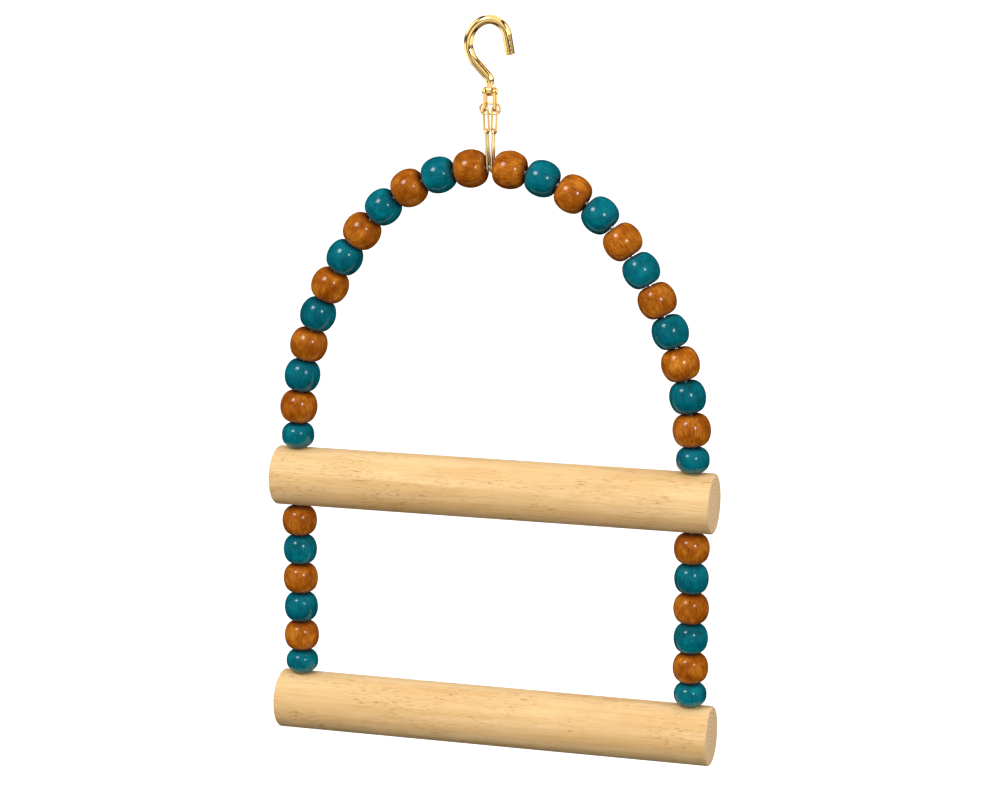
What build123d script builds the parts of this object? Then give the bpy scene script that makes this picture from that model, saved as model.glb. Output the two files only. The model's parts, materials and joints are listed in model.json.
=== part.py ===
"""Hanging bead swing for a small cage bird.

A wire arch threaded with wooden beads carries two round perches, and hangs by a short
double chain from an open hook.  Millimetres, +Z up, +X along the perches.  The origin is
the saddle of the hook: the inside of its crown, where it sits on the bar that holds it.
"""
from build123d import *
from math import acos, asin, cos, degrees, radians, sin, sqrt
import os

os.makedirs("parts", exist_ok=True)

# ---------------------------------------------------------------- driving dimensions
# Hook: one bent rod, its lower end forged into a flat eye.
HOOK_ROD = 3.9              # rod diameter
HOOK_CROWN_RADIUS = 7.4     # centreline radius of the crown
HOOK_BACK_RADIUS = 10.5     # centreline radius of the back
HOOK_NECK_RADIUS = 4.0      # centreline radius where the neck turns down to the eye
HOOK_CROWN_TURN = 25.0      # degrees of crown on the back side of the saddle
HOOK_BACK_TURN = 108.0      # degrees of back, down to the straight of the neck
HOOK_TIP_SPLAY = 10.0       # degrees by which the tip leg leans outwards
HOOK_TIP_LENGTH = 8.2       # straight leg of the tip
HOOK_EYE_DROP = 3.4         # from the end of the neck bend to the middle of the eye
HOOK_TAPER = 1.6            # length over which the rod is forged down to the eye
EYE_THICKNESS = 2.0
EYE_WALL = 1.15             # metal round the hole of the eye
EYE_HOLE = 2.2              # hole diameter
EYE_HOLE_FILLET = 0.6       # rounding of its rims
EYE_NECK = 0.8              # width of the neck over the eye, as a share of the eye's
EYE_CORNER = 0.6            # rounding of the flat's corners where the rod runs into it
HOOK_TIP_FILLET = 0.45      # rounding of the rod's end

# Cross pin in the eye, with a head at each end.
PIN = 1.6
PIN_HEAD = 2.6
PIN_HEAD_THICKNESS = 0.55
PIN_HEAD_FILLET = 0.25

# Chain
LINK_WIRE = 1.05            # wire diameter of every link
TIE_WIRE = 0.85             # wire diameter of the ring that ties the two strands together
LINK_INSIDE = 2.2           # inside width of a long link
LINK_LAP = 1.5714           # how far two links overlap end to end, in wire diameters
UPPER_LINK_LENGTH = 10.4    # outside length of the links on the pin
MIDDLE_LINK_LENGTH = 12.0   # outside length of the middle links
WIRE_LINK_LENGTH = 18.7     # outside length of the links round the arch wire
MIDDLE_TWIST = -51.0        # degrees by which a middle link is turned about its strand
WIRE_LINK_SPACING = 1.5     # between the feet of the two links on the arch wire

# Arch
ARCH_WIRE = 2.0
LEG_INSET = 9.45            # from each end of a perch to the upright leg
CROWN_RADIUS = 70.0         # centreline radius over the top
SIDE_RADIUS = 150.5         # centreline radius of the two sides
APEX_GAP = 3.3              # bare wire between the two top beads
MIN_LEG_RISE = 4.6          # least straight leg above the upper perch
SOCKET_DEPTH = 16.0         # of each leg in the lower perch

# Beads: diameter, length along the wire
ARCH_BROWN = (16.0, 13.58)
ARCH_TEAL = (15.3, 13.58)
ARCH_SEAT = (14.0, 10.8)
LOWER_BROWN = (15.0, 12.8)
LOWER_TEAL = (14.5, 12.8)
LOWER_SEAT = (13.9, 10.15)
BEAD_BORE = 3.2
BEAD_SIDE_RADIUS = 9.2      # curve of a bead's side along its bore
BEAD_SHOULDER = 4.7         # radius between a bead's side and its flat ends
BEAD_BORE_CHAMFER = 0.25
ARCH_BEADS = 12             # on each side of the arch, the last one a seat bead
LOWER_BEADS = 6             # on each leg between the perches, the last one a seat bead

# Perches
PERCH = 25.4
PERCH_LENGTH = 192.7
PERCH_END_FILLET = 0.9

# ---------------------------------------------------------------- clearances
HANG_CLEAR = 0.05           # where one metal piece hangs in another
SIDE_CLEAR = 0.525          # each link on the pin to the flat of the eye
PIN_HEAD_CLEAR = 0.15       # each link on the pin to the pin's head
TIE_PLAY = 0.7              # spare height inside the tie ring
TIE_END_PLAY = 0.15         # spare length at each end of the tie ring
WIRE_LINK_CLEAR = 0.1       # arch wire to the sides of its links
BEAD_CLEAR = 0.15           # between neighbouring beads
SEAT_CLEAR = 0.15           # a seat bead over its perch
LOWER_STACK_PLAY = 0.6      # spare length on each leg between the perches
HOLE_CLEAR = 0.05           # wire in the holes of the perches, on the radius
SAME_SIZE = 0.001           # two radii this close are the same

# ---------------------------------------------------------------- derived sizes
rod_radius = HOOK_ROD / 2
link_radius = LINK_WIRE / 2
wire_radius = ARCH_WIRE / 2
perch_radius = PERCH / 2
pin_radius = PIN / 2
bore_radius = BEAD_BORE / 2
half_span = PERCH_LENGTH / 2 - LEG_INSET

# Hook centreline, from the crown over the saddle to the eye
crown_top = rod_radius
neck_angle = radians(HOOK_CROWN_TURN + HOOK_BACK_TURN - 90.0)
crown_turn = radians(HOOK_CROWN_TURN)
back_centre_x = (HOOK_BACK_RADIUS - HOOK_CROWN_RADIUS) * sin(crown_turn)
back_centre_z = crown_top - HOOK_CROWN_RADIUS - (HOOK_BACK_RADIUS - HOOK_CROWN_RADIUS) * cos(crown_turn)
neck_start_x = back_centre_x - HOOK_BACK_RADIUS * cos(neck_angle)
neck_start_z = back_centre_z - HOOK_BACK_RADIUS * sin(neck_angle)
neck_bend_run = HOOK_NECK_RADIUS * (1 - cos(radians(90.0) - neck_angle))
neck_bend_drop = HOOK_NECK_RADIUS * sin(radians(90.0) - neck_angle)
neck_straight = (-neck_start_x - neck_bend_run) / sin(neck_angle)
neck_end_z = neck_start_z - neck_straight * cos(neck_angle) - neck_bend_drop
eye_z = neck_end_z - HOOK_EYE_DROP
eye_radius = EYE_HOLE / 2 + EYE_WALL

# Levels down the chain: centrelines of the ends of the links
pin_z = eye_z - EYE_HOLE / 2 + pin_radius + 2 * HANG_CLEAR
upper_link_x = EYE_THICKNESS / 2 + SIDE_CLEAR + link_radius
pin_half_length = upper_link_x + link_radius + PIN_HEAD_CLEAR
upper_link_top = pin_z + pin_radius + HANG_CLEAR + link_radius
upper_link_foot = upper_link_top - (UPPER_LINK_LENGTH - LINK_WIRE)
link_width = LINK_INSIDE + 2 * LINK_WIRE
link_lap = LINK_LAP * LINK_WIRE
strand_top = upper_link_foot + link_lap
tie_half_window = (LINK_WIRE + link_lap + TIE_PLAY) / 2
tie_z = (strand_top + upper_link_foot) / 2
middle_reach = MIDDLE_LINK_LENGTH - LINK_WIRE
wire_reach = WIRE_LINK_LENGTH - LINK_WIRE
strand_length = middle_reach + wire_reach - link_lap
wire_link_x = WIRE_LINK_SPACING / 2
strand_foot = strand_top - sqrt(strand_length ** 2 - (upper_link_x - wire_link_x) ** 2)
wire_link_width = ARCH_WIRE + 2 * WIRE_LINK_CLEAR + 2 * LINK_WIRE
apex_z = strand_foot + link_radius + HANG_CLEAR + wire_radius

# Arch: a crown arc, two side arcs tangent to it, and upright legs tangent to those
crown_centre_z = apex_z - CROWN_RADIUS
side_angle = acos((SIDE_RADIUS - half_span) / (SIDE_RADIUS - CROWN_RADIUS))
crown_half_turn = radians(90.0) - side_angle
spring_z = crown_centre_z - (SIDE_RADIUS - CROWN_RADIUS) * sin(side_angle)
crown_length = CROWN_RADIUS * crown_half_turn
side_length = SIDE_RADIUS * side_angle


def shoulder_lean(size):
    """Angle at which a bead's side runs into its shoulder, from square to the bore."""
    return asin((size[1] / 2 - BEAD_SHOULDER) / (BEAD_SIDE_RADIUS - BEAD_SHOULDER))


def face_radius(size):
    """Radius of the flat end of a bead, where its shoulder begins."""
    shoulder_reach = (BEAD_SIDE_RADIUS - BEAD_SHOULDER) * cos(shoulder_lean(size))
    return shoulder_reach - BEAD_SIDE_RADIUS + size[0] / 2


def stack_sizes(seat, brown, teal, count):
    """Sizes of a stack of beads from its perch up: a seat bead, then brown and teal in turn."""
    return [seat] + [teal if i % 2 else brown for i in range(count - 1)]


def arch_turn_radius(rise, along):
    """Radius of the wire's curve, at a distance along it from the upper perch."""
    if along < rise:
        return float("inf")
    return SIDE_RADIUS if along < rise + side_length else CROWN_RADIUS


def arch_stations(rise):
    """Distance of each arch bead's middle from the upper perch, seat bead first."""
    sizes = stack_sizes(ARCH_SEAT, ARCH_BROWN, ARCH_TEAL, ARCH_BEADS)
    stations = [SEAT_CLEAR + ARCH_SEAT[1] / 2]
    for below, above in zip(sizes, sizes[1:]):
        straight = (below[1] + above[1]) / 2 + BEAD_CLEAR
        rim = max(face_radius(below), face_radius(above))
        here = arch_turn_radius(rise, stations[-1] + straight)
        stations.append(stations[-1] + straight / (1 - rim / here))
    return stations


arch_stack = arch_stations(MIN_LEG_RISE)[-1] + ARCH_BROWN[1] / 2 + APEX_GAP / 2
leg_rise = max(MIN_LEG_RISE, arch_stack - side_length - crown_length)
upper_perch_z = spring_z - leg_rise - perch_radius

lower_sizes = stack_sizes(LOWER_SEAT, LOWER_BROWN, LOWER_TEAL, LOWER_BEADS)
lower_stack = sum(size[1] for size in lower_sizes) + (LOWER_BEADS - 1) * BEAD_CLEAR + SEAT_CLEAR
perch_spacing = lower_stack + LOWER_STACK_PLAY + PERCH
lower_perch_z = upper_perch_z - perch_spacing
leg_foot_z = lower_perch_z + perch_radius - SOCKET_DEPTH


def circles_of(builder, radius):
    """The circular edges of that radius."""
    circles = builder.edges().filter_by(GeomType.CIRCLE)
    return circles.filter_by(lambda edge: abs(edge.radius - radius) < SAME_SIZE)


# ---------------------------------------------------------------- hook and its pin
with BuildPart() as hook:
    with BuildLine(Plane.XZ) as hook_line:
        crown_front = JernArc((0, crown_top), (1, 0), HOOK_CROWN_RADIUS, HOOK_TIP_SPLAY - 90.0)
        Line(crown_front @ 1, crown_front @ 1 + (crown_front % 1) * HOOK_TIP_LENGTH)
        crown_back = JernArc((0, crown_top), (-1, 0), HOOK_CROWN_RADIUS, HOOK_CROWN_TURN)
        back = JernArc(crown_back @ 1, crown_back % 1, HOOK_BACK_RADIUS, HOOK_BACK_TURN)
        neck = Line(back @ 1, back @ 1 + (back % 1) * neck_straight)
        JernArc(neck @ 1, neck % 1, HOOK_NECK_RADIUS, degrees(neck_angle) - 90.0)
    with BuildSketch(Plane(origin=hook_line.line @ 0, z_dir=hook_line.line % 0)):
        Circle(rod_radius)
    sweep(path=hook_line.line)
    fillet(hook.faces().filter_by(GeomType.PLANE).sort_by(Axis.X)[-1].edges(), HOOK_TIP_FILLET)
    with BuildSketch(Plane.XY.offset(neck_end_z)):
        Circle(rod_radius)
    with BuildSketch(Plane.XY.offset(neck_end_z - HOOK_TAPER)):
        RectangleRounded(EYE_THICKNESS, 2 * eye_radius * EYE_NECK, EYE_CORNER)
    loft()
    with BuildSketch(Plane.YZ.offset(-EYE_THICKNESS / 2)):
        with Locations((0, eye_z)):
            Circle(eye_radius)
        with Locations((0, (eye_z + neck_end_z - HOOK_TAPER) / 2)):
            Rectangle(2 * eye_radius * EYE_NECK, neck_end_z - HOOK_TAPER - eye_z)
    extrude(amount=EYE_THICKNESS)
    with BuildSketch(Plane.YZ.offset(-EYE_THICKNESS / 2)):
        with Locations((0, eye_z)):
            Circle(EYE_HOLE / 2)
    extrude(amount=EYE_THICKNESS, mode=Mode.SUBTRACT)
    fillet(circles_of(hook, EYE_HOLE / 2), EYE_HOLE_FILLET)
hook.part.label = "hook"
export_step(hook.part, "parts/hook.step")

with BuildPart() as hook_pin:
    with BuildSketch(Plane.YZ.offset(-pin_half_length)):
        with Locations((0, pin_z)):
            Circle(pin_radius)
    extrude(amount=2 * pin_half_length)
    for outward in (-1, 1):
        with BuildSketch(Plane(origin=(outward * pin_half_length, 0, pin_z), z_dir=(outward, 0, 0))):
            Circle(PIN_HEAD / 2)
        extrude(amount=PIN_HEAD_THICKNESS)
    head_faces = hook_pin.faces().filter_by(Axis.X).sort_by(Axis.X)
    fillet(head_faces[0].edges() + head_faces[-1].edges(), PIN_HEAD_FILLET)
hook_pin.part.label = "hook_pin"
export_step(hook_pin.part, "parts/hook_pin.step")


# ---------------------------------------------------------------- chain
def oval_link(name, plane, length, width, wire=LINK_WIRE):
    """An oval ring of round wire: its middle at the plane's origin, its length along local Y."""
    end_radius = (width - wire) / 2
    half_straight = (length - width) / 2
    with BuildPart() as link:
        with BuildLine(plane) as ring:
            right = Line((end_radius, -half_straight), (end_radius, half_straight))
            top = JernArc(right @ 1, right % 1, end_radius, 180.0)
            left = Line(top @ 1, top @ 1 - (right @ 1 - right @ 0))
            JernArc(left @ 1, left % 1, end_radius, 180.0)
        start = ring.line @ 0
        with BuildSketch(Plane(origin=start, z_dir=ring.line % 0)):
            Circle(wire / 2)
        sweep(path=ring.line)
    link.part.label = name
    export_step(link.part, f"parts/{name}.step")


def strand_plane(top_end, foot_end, twist):
    """Plane of a link between two points of its centreline, turned about the line through them."""
    axis = (top_end - foot_end).normalized()
    depth = Vector(0, 1, 0)
    across = depth * cos(radians(twist)) + depth.cross(axis) * sin(radians(twist))
    return Plane(origin=(top_end + foot_end) / 2, x_dir=across, z_dir=across.cross(axis))


oval_link("tie_ring", Plane(origin=(0, 0, tie_z), x_dir=(0, 0, -1), z_dir=(0, 1, 0)),
          2 * (upper_link_x + TIE_END_PLAY + tie_half_window + TIE_WIRE),
          2 * (tie_half_window + TIE_WIRE), TIE_WIRE)

for side, side_name in ((-1, "left"), (1, "right")):
    pin_end = Vector(side * upper_link_x, 0, upper_link_top)
    upper_foot = Vector(side * upper_link_x, 0, upper_link_foot)
    strand_head = Vector(side * upper_link_x, 0, strand_top)
    strand_end = Vector(side * wire_link_x, 0, strand_foot)
    down = (strand_end - strand_head).normalized()
    middle_end = strand_head + down * middle_reach
    oval_link(f"{side_name}_link_1", strand_plane(pin_end, upper_foot, 0.0), UPPER_LINK_LENGTH, link_width)
    oval_link(f"{side_name}_link_2", strand_plane(strand_head, middle_end, MIDDLE_TWIST),
              MIDDLE_LINK_LENGTH, link_width)
    oval_link(f"{side_name}_link_3", strand_plane(strand_end - down * wire_reach, strand_end, 0.0),
              WIRE_LINK_LENGTH, wire_link_width)

# ---------------------------------------------------------------- arch wire
with BuildPart() as arch_wire:
    with BuildLine(Plane.XZ) as arch_line:
        left_leg = Line((-half_span, leg_foot_z), (-half_span, spring_z))
        left_side = JernArc(left_leg @ 1, left_leg % 1, SIDE_RADIUS, -degrees(side_angle))
        crown = JernArc(left_side @ 1, left_side % 1, CROWN_RADIUS, -2 * degrees(crown_half_turn))
        right_side = JernArc(crown @ 1, crown % 1, SIDE_RADIUS, -degrees(side_angle))
        Line(right_side @ 1, (half_span, leg_foot_z))
    with BuildSketch(Plane.XY.offset(leg_foot_z)):
        with Locations((-half_span, 0)):
            Circle(wire_radius)
    sweep(path=arch_line.line)
arch_wire.part.label = "arch_wire"
export_step(arch_wire.part, "parts/arch_wire.step")


# ---------------------------------------------------------------- perches
def perch(name, axis_z, hole_foot_z):
    """A round perch along X, drilled from above for the two legs."""
    with BuildPart() as dowel:
        with BuildSketch(Plane.YZ.offset(-PERCH_LENGTH / 2)):
            with Locations((0, axis_z)):
                Circle(perch_radius)
        extrude(amount=PERCH_LENGTH)
        fillet(dowel.edges().filter_by(GeomType.CIRCLE), PERCH_END_FILLET)
        with BuildSketch(Plane.XY.offset(hole_foot_z)):
            with Locations((-half_span, 0), (half_span, 0)):
                Circle(wire_radius + HOLE_CLEAR)
        extrude(amount=axis_z + PERCH - hole_foot_z, mode=Mode.SUBTRACT)
    dowel.part.label = name
    export_step(dowel.part, f"parts/{name}.step")


perch("upper_perch", upper_perch_z, upper_perch_z - PERCH)
perch("lower_perch", lower_perch_z, leg_foot_z - HOLE_CLEAR)


# ---------------------------------------------------------------- beads
def bead(name, plane, size):
    """A barrel bead with round shoulders and flat drilled ends: its bore along the plane's X."""
    radius = size[0] / 2
    end = size[1] / 2
    flat = face_radius(size)
    lean = shoulder_lean(size)
    side_end = BEAD_SIDE_RADIUS * sin(lean)
    side_rim = radius - BEAD_SIDE_RADIUS * (1 - cos(lean))
    with BuildPart() as ball:
        with BuildSketch(plane):
            with BuildLine():
                barrel = ThreePointArc((-side_end, side_rim), (0, radius), (side_end, side_rim))
                TangentArc(barrel @ 1, (end, flat), tangent=barrel % 1)
                TangentArc(barrel @ 0, (-end, flat), tangent=(barrel % 0) * -1)
                Polyline((end, flat), (end, bore_radius), (-end, bore_radius), (-end, flat))
            make_face()
        revolve(axis=Axis(plane.origin, plane.x_dir))
        chamfer(circles_of(ball, bore_radius), BEAD_BORE_CHAMFER)
    ball.part.label = name
    export_step(ball.part, f"parts/{name}.step")


def arch_point(along):
    """Place and direction of the right half of the arch, at a distance from the upper perch."""
    up_side = along - leg_rise
    if up_side <= 0:
        return (half_span, spring_z + up_side), (0.0, 1.0)
    if up_side <= side_length:
        turn = up_side / SIDE_RADIUS
        centre = (half_span - SIDE_RADIUS, spring_z)
        radius = SIDE_RADIUS
    else:
        turn = side_angle + (up_side - side_length) / CROWN_RADIUS
        centre = (0.0, crown_centre_z)
        radius = CROWN_RADIUS
    return (centre[0] + radius * cos(turn), centre[1] + radius * sin(turn)), (-sin(turn), cos(turn))


def bead_plane(side, point, direction):
    """Plane of a bead on the given side, its X along the wire."""
    return Plane(origin=(side * point[0], 0, point[1]), x_dir=(side * direction[0], 0, direction[1]),
                 z_dir=(0, 1, 0))


for side, side_name in ((-1, "left"), (1, "right")):
    arch_sizes = stack_sizes(ARCH_SEAT, ARCH_BROWN, ARCH_TEAL, ARCH_BEADS)
    for step, (along, size) in enumerate(zip(arch_stations(leg_rise), arch_sizes)):
        number = ARCH_BEADS - step
        bead(f"{side_name}_arch_bead_{number:02d}", bead_plane(side, *arch_point(along)), size)
    level = lower_perch_z + perch_radius + SEAT_CLEAR
    for step, size in enumerate(lower_sizes):
        number = LOWER_BEADS - step
        middle = (half_span, level + size[1] / 2)
        bead(f"{side_name}_lower_bead_{number}", bead_plane(side, middle, (0.0, 1.0)), size)
        level += size[1] + BEAD_CLEAR
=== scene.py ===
"""Looks of the hanging bead swing: materials, turned beads and dowels, studio light and camera."""

import json
import math
import random

import bmesh
import bpy
from mathutils import Matrix, Vector

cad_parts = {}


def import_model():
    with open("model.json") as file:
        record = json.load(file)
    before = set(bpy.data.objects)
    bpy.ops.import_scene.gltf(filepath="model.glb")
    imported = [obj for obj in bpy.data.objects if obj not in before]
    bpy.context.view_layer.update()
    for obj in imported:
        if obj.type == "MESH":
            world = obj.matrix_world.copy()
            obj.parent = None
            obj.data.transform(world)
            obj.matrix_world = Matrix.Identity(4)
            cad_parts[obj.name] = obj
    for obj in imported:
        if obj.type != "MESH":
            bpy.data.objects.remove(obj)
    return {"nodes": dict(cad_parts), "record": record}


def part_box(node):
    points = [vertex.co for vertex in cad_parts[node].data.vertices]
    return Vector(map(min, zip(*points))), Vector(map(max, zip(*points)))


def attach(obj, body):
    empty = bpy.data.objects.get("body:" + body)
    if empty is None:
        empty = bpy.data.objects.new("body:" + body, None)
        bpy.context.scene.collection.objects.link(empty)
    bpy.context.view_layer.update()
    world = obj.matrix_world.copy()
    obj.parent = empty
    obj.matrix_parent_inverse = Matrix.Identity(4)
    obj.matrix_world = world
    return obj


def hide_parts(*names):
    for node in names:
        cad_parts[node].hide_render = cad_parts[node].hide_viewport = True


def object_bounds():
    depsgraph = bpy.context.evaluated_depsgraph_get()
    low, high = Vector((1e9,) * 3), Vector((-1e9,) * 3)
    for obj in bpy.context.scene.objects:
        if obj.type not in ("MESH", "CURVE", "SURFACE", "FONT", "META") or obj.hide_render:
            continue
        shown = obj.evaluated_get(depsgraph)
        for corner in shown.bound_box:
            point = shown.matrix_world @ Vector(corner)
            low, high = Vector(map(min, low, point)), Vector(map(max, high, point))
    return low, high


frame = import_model()
cad_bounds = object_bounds()
record = frame["record"]
joints = {joint["child"]: joint for joint in record["behaviour"]["joints"]}

MM = 0.001
BEAD_SIDE_RADIUS = 9.2 * MM      # curve of a bead's side along its bore
BEAD_SHOULDER = 4.7 * MM         # radius between a bead's side and its flat ends
BEAD_BORE_EDGE = 0.25 * MM
AROUND = 56                      # faces round a bead
DOWEL_AROUND = 128               # faces round a perch
DOWEL_ALONG = 90                 # rings along a perch
DOWEL_EDGE = 0.9 * MM            # rounding of a perch's ends
END_RINGS = (0.35, 0.7)          # rings of a perch's end face, as shares of its radius
END_GRAIN_DEPTH = 0.2 * MM       # from the end face, as far as it shows end grain
FLOOR_DROP = 0.22                # from the lower perch to the floor
FLOOR_REACH = 14.0               # from its middle to its edges
LIGHT_ABOVE = 1.0                # world brightness from LIGHT_SPAN's second height up
LIGHT_BELOW = 0.1                # and from its first height down
LIGHT_SPAN = (-0.42, -0.1)       # heights of a direction one unit long
TENT_RADIUS = 3.0
TENT_GLOW = 1.8
# stripes of the tent over X and over Z, each a place from 0 to 1 and a brightness
TENT_ACROSS = ((0.0, 1.0), (0.12, 1.0), (0.16, 0.02), (0.25, 0.02), (0.29, 0.7), (0.68, 0.78),
               (0.72, 0.02), (0.81, 0.02), (0.85, 1.0), (1.0, 1.0))
TENT_UPWARDS = ((0.0, 0.15), (0.2, 0.3), (0.27, 0.9), (0.45, 0.95), (0.49, 0.05), (0.55, 0.05), (0.6, 0.95),
                (1.0, 1.0))

# ------------------------------------------------------------------ camera
VIEW_AZIMUTH = math.radians(16.38)
VIEW_ELEVATION = math.radians(12.24)
VIEW_ROLL = math.radians(-0.19)
VIEW_DISTANCE = 1.1737
LENS = 100.5                     # millimetres, as Blender takes it
SENSOR = 36.0
NEAR_CLIP = 0.05
AIM_FROM_CENTRE = Vector((3.8, 0.0, -4.0)) * MM


def camera():
    """A long lens at the usual product angle, aimed near the middle of the object."""
    centre = (Vector(cad_bounds[0]) + Vector(cad_bounds[1])) / 2
    aim = centre + AIM_FROM_CENTRE
    back = Vector((math.sin(VIEW_AZIMUTH) * math.cos(VIEW_ELEVATION),
                   -math.cos(VIEW_AZIMUTH) * math.cos(VIEW_ELEVATION),
                   math.sin(VIEW_ELEVATION)))
    data = bpy.data.cameras.new("camera")
    data.lens = LENS
    data.sensor_width = SENSOR
    data.clip_start = NEAR_CLIP
    shot = bpy.data.objects.new("camera", data)
    turn = back.to_track_quat("Z", "Y").to_matrix().to_4x4()
    roll = Matrix.Rotation(VIEW_ROLL, 4, "Z")
    shot.matrix_world = Matrix.Translation(aim + back * VIEW_DISTANCE) @ turn @ roll
    bpy.context.scene.collection.objects.link(shot)
    bpy.context.scene.camera = shot


# ------------------------------------------------------------------ node helpers
class Graph:
    """A material's node tree with short calls for the nodes used here."""

    def __init__(self, name):
        self.material = bpy.data.materials.new(name)
        self.material.use_nodes = True
        self.tree = self.material.node_tree
        self.tree.nodes.clear()
        self.shader = self.node("ShaderNodeBsdfPrincipled")
        output = self.node("ShaderNodeOutputMaterial")
        self.link(self.shader.outputs["BSDF"], output.inputs["Surface"])

    def node(self, kind, **settings):
        made = self.tree.nodes.new(kind)
        for key, value in settings.items():
            setattr(made, key, value)
        return made

    def link(self, source, target):
        self.tree.links.new(source, target)

    def feed(self, target, value):
        if isinstance(value, bpy.types.NodeSocket):
            self.link(value, target)
        else:
            target.default_value = value

    def set(self, **values):
        """Values of the shader's own sockets, with _ for a space in their names."""
        for key, value in values.items():
            self.shader.inputs[key.replace("_", " ")].default_value = value

    def place(self):
        return self.node("ShaderNodeTexCoord").outputs["Object"]

    def attribute(self, name):
        return self.node("ShaderNodeAttribute", attribute_name=name).outputs["Fac"]

    def shift(self, vector, amount):
        """The vector moved along the diagonal by a number that differs from piece to piece."""
        many = self.node("ShaderNodeVectorMath", operation="SCALE")
        many.inputs[0].default_value = (1.0, 1.7, 2.3)
        self.feed(many.inputs["Scale"], amount)
        both = self.node("ShaderNodeVectorMath", operation="ADD")
        self.feed(both.inputs[0], vector)
        self.link(many.outputs[0], both.inputs[1])
        return both.outputs[0]

    def stretch(self, vector, scale):
        made = self.node("ShaderNodeVectorMath", operation="MULTIPLY")
        self.feed(made.inputs[0], vector)
        made.inputs[1].default_value = scale
        return made.outputs[0]

    def noise(self, vector, scale, detail=4.0, rough=0.55, distortion=0.0):
        made = self.node("ShaderNodeTexNoise")
        self.feed(made.inputs["Vector"], vector)
        made.inputs["Scale"].default_value = scale
        made.inputs["Detail"].default_value = detail
        made.inputs["Roughness"].default_value = rough
        made.inputs["Distortion"].default_value = distortion
        return made.outputs["Fac"]

    def span(self, value, low, high, to_low=0.0, to_high=1.0):
        made = self.node("ShaderNodeMapRange", clamp=True)
        self.feed(made.inputs["Value"], value)
        for key, number in (("From Min", low), ("From Max", high), ("To Min", to_low), ("To Max", to_high)):
            made.inputs[key].default_value = number
        return made.outputs["Result"]

    def maths(self, operation, first, second=0.0):
        made = self.node("ShaderNodeMath", operation=operation)
        self.feed(made.inputs[0], first)
        self.feed(made.inputs[1], second)
        return made.outputs[0]

    def ramp(self, value, stops):
        """A grey that runs straight from stop to stop, each a (place, brightness)."""
        made = self.node("ShaderNodeValToRGB")
        elements = made.color_ramp.elements
        while len(elements) < len(stops):
            elements.new(0.5)
        for element, (place, grey) in zip(elements, stops):
            element.position = place
            element.color = (grey, grey, grey, 1.0)
        self.feed(made.inputs["Fac"], value)
        return made.outputs["Color"]

    def mix(self, share, first, second, blend="MIX"):
        made = self.node("ShaderNodeMix", data_type="RGBA", blend_type=blend)
        self.feed(made.inputs["Factor"], share)
        self.feed(made.inputs["A"], first)
        self.feed(made.inputs["B"], second)
        return made.outputs["Result"]

    def bump(self, height, strength, distance):
        made = self.node("ShaderNodeBump")
        made.inputs["Strength"].default_value = strength
        made.inputs["Distance"].default_value = distance
        self.feed(made.inputs["Height"], height)
        self.link(made.outputs["Normal"], self.shader.inputs["Normal"])


# ------------------------------------------------------------------ materials
def bead_finish(name, deep, middle, bright):
    """Stained wood under gloss varnish: grain along the bore, mottled stain, darker pores, and painted shade
    at the ends where beads meet.
    """
    g = Graph(name)
    place = g.shift(g.place(), g.attribute("grain_seed"))
    grain = g.noise(g.stretch(place, (1.0, 1.0, 0.2)), 1300.0, 4.0, 0.6, 0.5)
    mottle = g.noise(place, 170.0, 3.0, 0.5, 0.4)
    pores = g.noise(g.stretch(place, (1.0, 1.0, 0.22)), 3800.0, 2.0, 0.5)
    tone = g.maths("ADD", g.maths("MULTIPLY", grain, 0.45), g.maths("MULTIPLY", mottle, 0.55))
    shade = g.mix(g.span(tone, 0.3, 0.52), deep, middle)
    shade = g.mix(g.span(tone, 0.5, 0.72), shade, bright)
    shade = g.mix(g.span(g.attribute("bead_tone"), 0.0, 1.0, 0.0, 0.3), shade, deep)
    shade = g.mix(g.span(pores, 0.58, 0.72, 0.0, 0.6), shade, deep)
    # painted shade: the colour turns deep towards each end of the bore, where neighbouring beads meet
    shade = g.mix(g.span(g.attribute("painted_end_shade"), 0.78, 1.0, 0.0, 0.85), shade, deep)
    g.link(shade, g.shader.inputs["Base Color"])
    g.link(g.span(mottle, 0.3, 0.7, 0.4, 0.5), g.shader.inputs["Roughness"])
    g.set(Coat_Weight=1.0, Coat_Roughness=0.15, Coat_IOR=1.5, Specular_IOR_Level=0.0)
    g.bump(grain, 0.1, 0.0002)
    return g.material


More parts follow.
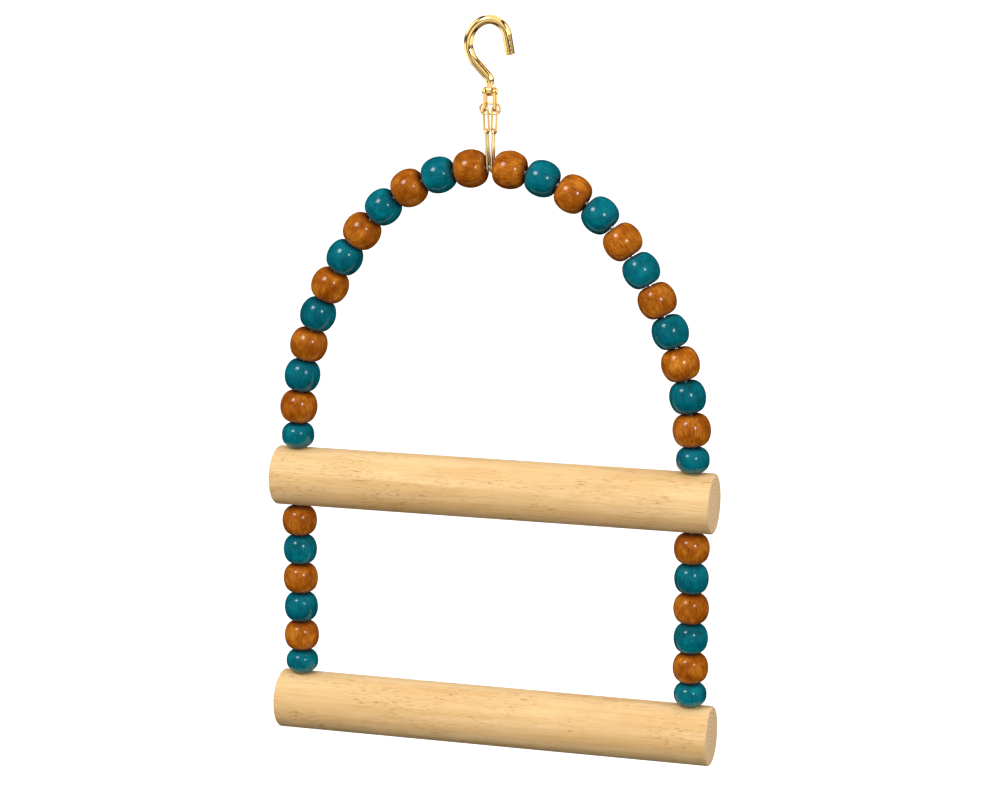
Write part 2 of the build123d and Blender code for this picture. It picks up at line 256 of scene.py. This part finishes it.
def perch_finish(name):
    """Bare sanded wood: grain along X, short darker flecks, end grain with rings and open pores."""
    g = Graph(name)
    place = g.shift(g.place(), g.attribute("grain_seed"))
    bands = g.noise(g.stretch(place, (0.06, 1.0, 1.0)), 190.0, 3.0, 0.5, 0.5)
    fibre = g.noise(g.stretch(place, (0.05, 1.0, 1.0)), 1700.0, 4.0, 0.6, 0.2)
    fleck = g.noise(g.stretch(place, (0.14, 1.0, 1.0)), 1900.0, 2.0, 0.5, 0.3)
    patch = g.noise(g.stretch(place, (0.4, 1.0, 1.0)), 90.0, 2.0, 0.5)
    pale = (0.82, 0.56, 0.275, 1.0)
    warm = (0.74, 0.465, 0.195, 1.0)
    brown = (0.45, 0.22, 0.06, 1.0)
    shade = g.mix(g.span(bands, 0.36, 0.64), pale, warm)
    shade = g.mix(g.span(fibre, 0.45, 0.72, 0.0, 0.32), shade, brown)
    marks = g.maths("MULTIPLY", g.span(fleck, 0.57, 0.67), g.span(patch, 0.42, 0.6))
    shade = g.mix(g.maths("MULTIPLY", marks, 0.85), shade, brown)
    # end grain: rings about a dark heart off the axis, and fine open pores
    off = g.node("ShaderNodeVectorMath", operation="LENGTH")
    flat = g.stretch(g.place(), (0.0, 1.0, 1.0))
    g.link(g.shift(flat, g.attribute("ring_offset")), off.inputs[0])
    wander = g.maths("MULTIPLY", g.noise(place, 160.0, 2.0), 0.0022)
    rings = g.maths("SINE", g.maths("MULTIPLY", g.maths("ADD", off.outputs["Value"], wander), 3400.0))
    open_pores = g.noise(place, 2600.0, 2.0, 0.6)
    end = g.mix(g.span(rings, -1.0, 1.0, 0.0, 0.85), (0.86, 0.6, 0.33, 1.0), (0.68, 0.44, 0.22, 1.0))
    end = g.mix(g.span(open_pores, 0.58, 0.7, 0.0, 0.4), end, (0.95, 0.8, 0.58, 1.0))
    end = g.mix(g.span(off.outputs["Value"], 0.0004, 0.0014, 0.7, 0.0), end, brown)
    shade = g.mix(g.attribute("end_grain"), shade, end)
    g.link(shade, g.shader.inputs["Base Color"])
    g.link(g.span(fibre, 0.3, 0.7, 0.46, 0.62), g.shader.inputs["Roughness"])
    g.set(IOR=1.45, Specular_IOR_Level=0.3)
    g.bump(fibre, 0.25, 0.00025)
    return g.material


def metal_finish(name, clean, tarnish, low, high):
    """Polished metal: faint tarnish clouds, and handling marks in its gloss and surface."""
    g = Graph(name)
    place = g.place()
    cloud = g.noise(place, 160.0, 4.0, 0.6)
    marks = g.noise(place, 1900.0, 3.0, 0.6)
    g.link(g.mix(g.span(cloud, 0.45, 0.75), clean, tarnish), g.shader.inputs["Base Color"])
    g.link(g.span(marks, 0.35, 0.7, low, high), g.shader.inputs["Roughness"])
    g.set(Metallic=1.0)
    g.bump(marks, 0.03, 0.00004)
    return g.material


# ------------------------------------------------------------------ pieces
def finished(name, mesh_maker, material, body, node, matrix=None):
    """Links a new mesh piece that rides on a body and stands for a CAD node."""
    mesh = bpy.data.meshes.new(name)
    shape = bmesh.new()
    mesh_maker(shape)
    bmesh.ops.recalc_face_normals(shape, faces=shape.faces)
    shape.to_mesh(mesh)
    shape.free()
    mesh.shade_smooth()
    mesh.materials.append(material)
    piece = bpy.data.objects.new(name, mesh)
    bpy.context.scene.collection.objects.link(piece)
    if matrix is not None:
        piece.matrix_world = matrix
    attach(piece, body)
    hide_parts(node)
    return piece


def lathe(shape, profile, around):
    """Turns a closed (radius, height) outline about Z."""
    rings = []
    for step in range(around):
        turn = 2 * math.pi * step / around
        rings.append([shape.verts.new((r * math.cos(turn), r * math.sin(turn), z)) for r, z in profile])
    count = len(profile)
    for step in range(around):
        here, there = rings[step], rings[(step + 1) % around]
        for k in range(count):
            shape.faces.new((here[k], here[(k + 1) % count], there[(k + 1) % count], there[k]))


def value_layer(mesh, name, values):
    """A number stored at each point of the mesh, for the material to read."""
    layer = mesh.attributes.new(name, "FLOAT", "POINT")
    for k in range(len(mesh.vertices)):
        layer.data[k].value = values(mesh.vertices[k].co) if callable(values) else values


def bead_measures(node, centre, axis):
    """Half length, radius and bore radius of a bead, read from its CAD mesh."""
    half, outer, bore = 0.0, 0.0, 1.0
    for vertex in frame["nodes"][node].data.vertices:
        offset = vertex.co - centre
        height = offset.dot(axis)
        radius = (offset - axis * height).length
        half = max(half, abs(height))
        outer = max(outer, radius)
        bore = min(bore, radius)
    return half, outer, bore


def arc(centre, radius, start, end, steps):
    return [(centre[0] + radius * math.cos(start + (end - start) * k / steps),
             centre[1] + radius * math.sin(start + (end - start) * k / steps)) for k in range(steps + 1)]


def bead_profile(half, outer, bore):
    """Outline of a barrel bead: curved side, round shoulders, flat ends and a bore with broken edges."""
    lean = math.asin((half - BEAD_SHOULDER) / (BEAD_SIDE_RADIUS - BEAD_SHOULDER))
    flat = (BEAD_SIDE_RADIUS - BEAD_SHOULDER) * math.cos(lean) - BEAD_SIDE_RADIUS + outer
    upper = arc((outer - BEAD_SIDE_RADIUS, 0.0), BEAD_SIDE_RADIUS, 0.0, lean, 10)[1:]
    upper += arc((flat, half - BEAD_SHOULDER), BEAD_SHOULDER, lean, math.pi / 2, 9)[1:]
    upper += [(bore + BEAD_BORE_EDGE, half), (bore, half - BEAD_BORE_EDGE)]
    lower = [(r, -z) for r, z in reversed(upper)]
    return upper + lower + [(outer, 0.0)]


def make_bead(node, material, rng):
    """A turned bead on its joint's axis, with its own stretch of grain and depth of stain."""
    joint = joints[node]
    centre = Vector(joint["pos_m"])
    axis = Vector(joint["axis"]).normalized()
    half, outer, bore = bead_measures(node, centre, axis)
    upright = axis.to_track_quat("Z", "Y").to_matrix().to_4x4()
    spin = Matrix.Rotation(rng.uniform(0, 2 * math.pi), 4, "Z")
    profile = bead_profile(half, outer, bore)
    piece = finished(node + "_turned", lambda shape: lathe(shape, profile, AROUND), material,
                     node, node, Matrix.Translation(centre) @ upright @ spin)
    value_layer(piece.data, "grain_seed", rng.uniform(0.0, 3.0))
    value_layer(piece.data, "bead_tone", rng.random())
    # share of the half length out from the middle, which sets the painted shade at the bead's ends
    value_layer(piece.data, "painted_end_shade", lambda co: abs(co.z) / half)


def make_perch(node, material, seed):
    """A dowel with softly broken edges; the wire and the beads cover its holes."""
    low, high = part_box(node)
    centre = (Vector(low) + Vector(high)) / 2
    half = (high[0] - low[0]) / 2
    radius = (high[2] - low[2]) / 2

    def turned(shape):
        right = [(0.0, half)] + [(radius * share, half) for share in END_RINGS]
        right += arc((radius - DOWEL_EDGE, half - DOWEL_EDGE), DOWEL_EDGE, math.pi / 2, 0.0, 5)
        pitch = 2 * (half - DOWEL_EDGE) / DOWEL_ALONG
        side = [(radius, half - DOWEL_EDGE - pitch * k) for k in range(1, DOWEL_ALONG)]
        profile = right + side + [(r, -x) for r, x in reversed(right)]
        rings = []
        for step in range(DOWEL_AROUND):
            turn = 2 * math.pi * step / DOWEL_AROUND
            rings.append([shape.verts.new((x, r * math.cos(turn), r * math.sin(turn))) for r, x in profile])
        for step in range(DOWEL_AROUND):
            here, there = rings[step], rings[(step + 1) % DOWEL_AROUND]
            for k in range(len(profile) - 1):
                shape.faces.new((here[k], here[k + 1], there[k + 1], there[k]))
        bmesh.ops.remove_doubles(shape, verts=shape.verts, dist=1e-7)

    piece = finished(node + "_turned", turned, material, "arch", node,
                     Matrix.Translation(centre))
    value_layer(piece.data, "grain_seed", seed)
    value_layer(piece.data, "ring_offset", 0.0016 + 0.001 * seed)
    value_layer(piece.data, "end_grain", lambda co: 1.0 if abs(co.x) > half - END_GRAIN_DEPTH else 0.0)


# ------------------------------------------------------------------ build
def paint(node, material):
    data = frame["nodes"][node].data
    data.materials.clear()
    data.materials.append(material)


slots = {part["node"]: part["material_slot"] for part in record["subparts"]}
finishes = {
    "brown_bead": bead_finish("brown_bead", (0.18, 0.032, 0.001, 1), (0.46, 0.125, 0.005, 1),
                              (0.8, 0.31, 0.03, 1)),
    "teal_bead": bead_finish("teal_bead", (0.0005, 0.058, 0.08, 1), (0.0005, 0.15, 0.192, 1),
                             (0.0008, 0.25, 0.295, 1)),
    "perch_wood": perch_finish("perch_wood"),
    "brass": metal_finish("brass", (0.9, 0.61, 0.24, 1), (0.8, 0.5, 0.16, 1), 0.09, 0.16),
    "pale_brass": metal_finish("pale_brass", (0.86, 0.68, 0.36, 1), (0.74, 0.54, 0.26, 1), 0.08, 0.16),
    "steel_wire": metal_finish("steel_wire", (0.62, 0.6, 0.56, 1), (0.5, 0.47, 0.42, 1), 0.2, 0.34),
}

rng = random.Random(20)
for node, slot in slots.items():
    if slot in ("brown_bead", "teal_bead"):
        make_bead(node, finishes[slot], rng)
    elif slot != "perch_wood":
        paint(node, finishes[slot])

make_perch("upper_perch", finishes["perch_wood"], 0.6)
make_perch("lower_perch", finishes["perch_wood"], 1.9)


# ------------------------------------------------------------------ studio
def hide_from(thing, *rays):
    for ray in rays:
        setattr(thing, "visible_" + ray, False)


def stage_piece(name, mesh, material):
    mesh.materials.append(material)
    made = bpy.data.objects.new(name, mesh)
    bpy.context.scene.collection.objects.link(made)
    return made


def floor():
    """A plain pale floor, some way under the hanging object."""
    g = Graph("floor")
    pale, faint = (0.93, 0.93, 0.93, 1.0), (0.915, 0.915, 0.915, 1.0)
    g.link(g.mix(g.noise(g.place(), 2.0), pale, faint), g.shader.inputs["Base Color"])
    g.set(Roughness=0.85, Specular_IOR_Level=0.1, Emission_Color=(1.0, 1.0, 1.0, 1.0), Emission_Strength=0.3)
    level = cad_bounds[0][2] - FLOOR_DROP
    corners = [(x * FLOOR_REACH, y * FLOOR_REACH, level) for x, y in ((-1, -1), (1, -1), (1, 1), (-1, 1))]
    mesh = bpy.data.meshes.new("floor")
    mesh.from_pydata(corners, [], [(0, 1, 2, 3)])
    hide_from(stage_piece("floor", mesh, g.material), "diffuse", "glossy")


def tent(middle, receivers):
    """A striped tent that only the polished metal shows; to every other gloss it is dark."""
    g = Graph("tent")
    g.set(Base_Color=(0.0, 0.0, 0.0, 1.0), Roughness=1.0, Specular_IOR_Level=0.0,
          Emission_Strength=TENT_GLOW)
    way = g.node("ShaderNodeVectorMath", operation="NORMALIZE")
    g.link(g.place(), way.inputs[0])
    split = g.node("ShaderNodeSeparateXYZ")
    g.link(way.outputs[0], split.inputs[0])
    across = g.ramp(g.span(split.outputs["X"], -1.0, 1.0), TENT_ACROSS)
    upwards = g.ramp(g.span(split.outputs["Z"], -1.0, 1.0), TENT_UPWARDS)
    g.link(g.mix(1.0, across, upwards, "MULTIPLY"), g.shader.inputs["Emission Color"])
    mesh = bpy.data.meshes.new("tent")
    shape = bmesh.new()
    bmesh.ops.create_uvsphere(shape, u_segments=24, v_segments=12, radius=TENT_RADIUS)
    shape.to_mesh(mesh)
    shape.free()
    made = stage_piece("tent", mesh, g.material)
    made.location = middle
    hide_from(made, "camera", "diffuse", "transmission", "shadow")
    made.light_linking.receiver_collection = receivers


def facing(place, aim):
    """A matrix at a place whose -Z looks at the aim."""
    place, aim = Vector(place), Vector(aim)
    return Matrix.Translation(place) @ (place - aim).to_track_quat("Z", "Y").to_matrix().to_4x4()


def softbox(name, place, aim, size, glow, only=None):
    """A rectangular lamp of an even brightness, lighting everything or only one collection."""
    data = bpy.data.lights.new(name, "AREA")
    data.shape = "RECTANGLE"
    data.size, data.size_y = size
    data.energy = glow * math.pi * size[0] * size[1]
    lamp = bpy.data.objects.new(name, data)
    lamp.matrix_world = facing(place, aim)
    bpy.context.scene.collection.objects.link(lamp)
    if only:
        lamp.light_linking.receiver_collection = only


def world():
    """White light, even from the sides and above, and weaker from below."""
    made = bpy.data.worlds.new("studio")
    made.use_nodes = True
    tree = made.node_tree
    place = tree.nodes.new("ShaderNodeTexCoord")
    split = tree.nodes.new("ShaderNodeSeparateXYZ")
    spread = tree.nodes.new("ShaderNodeMapRange")
    tree.links.new(place.outputs["Generated"], split.inputs[0])
    tree.links.new(split.outputs["Z"], spread.inputs["Value"])
    spread.inputs["From Min"].default_value = LIGHT_SPAN[0]
    spread.inputs["From Max"].default_value = LIGHT_SPAN[1]
    spread.inputs["To Min"].default_value = LIGHT_BELOW
    spread.inputs["To Max"].default_value = LIGHT_ABOVE
    tree.links.new(spread.outputs["Result"], tree.nodes["Background"].inputs["Strength"])
    tree.nodes["Background"].inputs["Color"].default_value = (1.0, 1.0, 1.0, 1.0)
    made.cycles.sampling_method = "NONE"
    bpy.context.scene.world = made


middle = (Vector(cad_bounds[0]) + Vector(cad_bounds[1])) / 2
top = Vector((0.0, 0.0, cad_bounds[1][2]))
metal = bpy.data.collections.new("metal")
bpy.context.scene.collection.children.link(metal)
for node, slot in slots.items():
    if slot in ("brass", "pale_brass", "steel_wire"):
        metal.objects.link(frame["nodes"][node])

perches = bpy.data.collections.new("perches")
bpy.context.scene.collection.children.link(perches)
for node in ("upper_perch", "lower_perch"):
    perches.objects.link(bpy.data.objects[node + "_turned"])

camera()
floor()
tent(top, metal)
world()
softbox("key", middle + Vector((-0.5, -0.8, 0.8)), middle, (0.38, 0.38), 10.2)
softbox("side", middle + Vector((0.75, -0.9, 0.4)), middle, (0.17, 0.22), 20.0)
softbox("fill", middle + Vector((0.2, -0.8, -0.8)), middle, (0.7, 0.7), 2.2, perches)
bpy.context.scene.view_settings.view_transform = "Standard"
